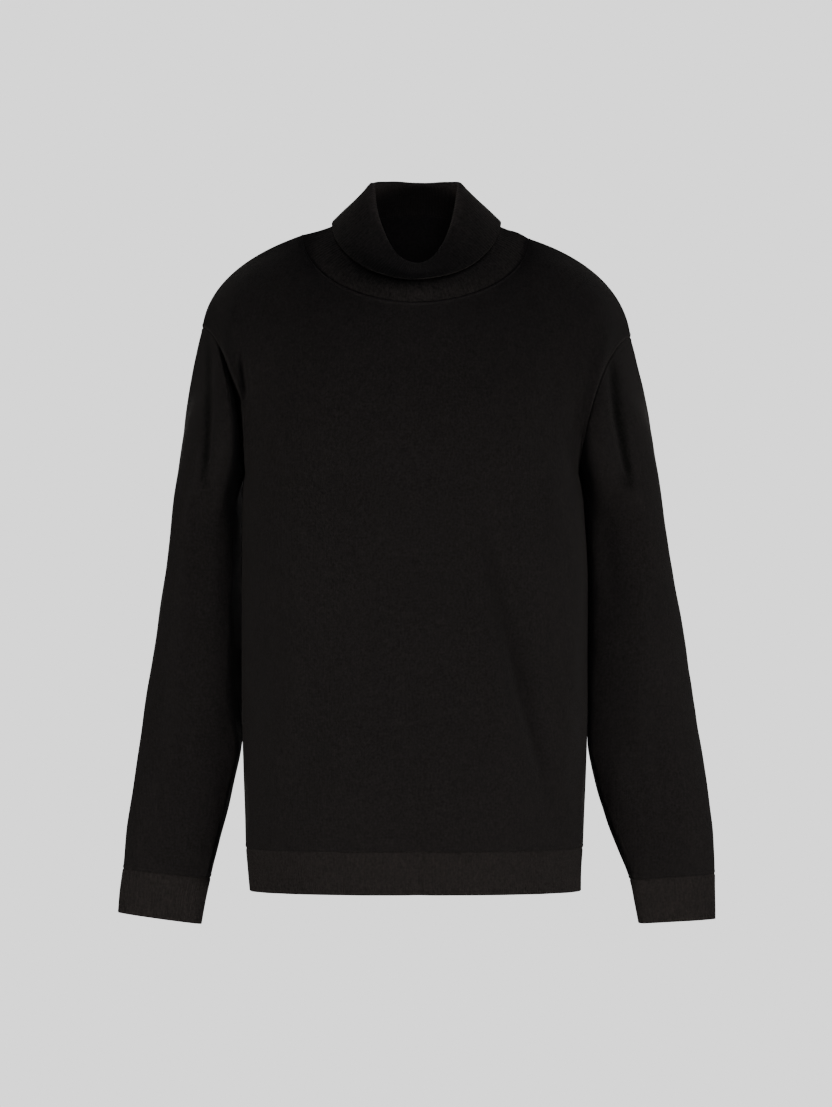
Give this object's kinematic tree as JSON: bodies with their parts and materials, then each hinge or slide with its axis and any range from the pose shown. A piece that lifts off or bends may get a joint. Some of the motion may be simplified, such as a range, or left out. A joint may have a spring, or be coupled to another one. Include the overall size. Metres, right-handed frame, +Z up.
{
  "type": "turtleneck sweater",
  "caption": "Fine-knit turtleneck sweater with a turned-down roll collar, long set-in sleeves and ribbed cuffs and hem, filled out as worn.",
  "frame": {"origin": "midway between the two points where the shoulder seams meet the neck seam, where the wearer's shoulders hold the garment", "axes": "+Z up, -Y towards the garment's front, +X towards the wearer's left"},
  "size_m": [0.6282, 0.2246, 0.7839],
  "materials": {
    "jersey_knit": "matte plain fine-gauge knit",
    "rib_knit": "matte fine one-by-one rib knit"
  },
  "bodies": {
    "root": {"front_panel": "jersey_knit", "back_panel": "jersey_knit", "right_sleeve": "jersey_knit", "left_sleeve": "jersey_knit", "front_hem": "rib_knit", "back_hem": "rib_knit", "right_cuff": "rib_knit", "left_cuff": "rib_knit", "roll_collar": "rib_knit"}
  },
  "joints": []
}
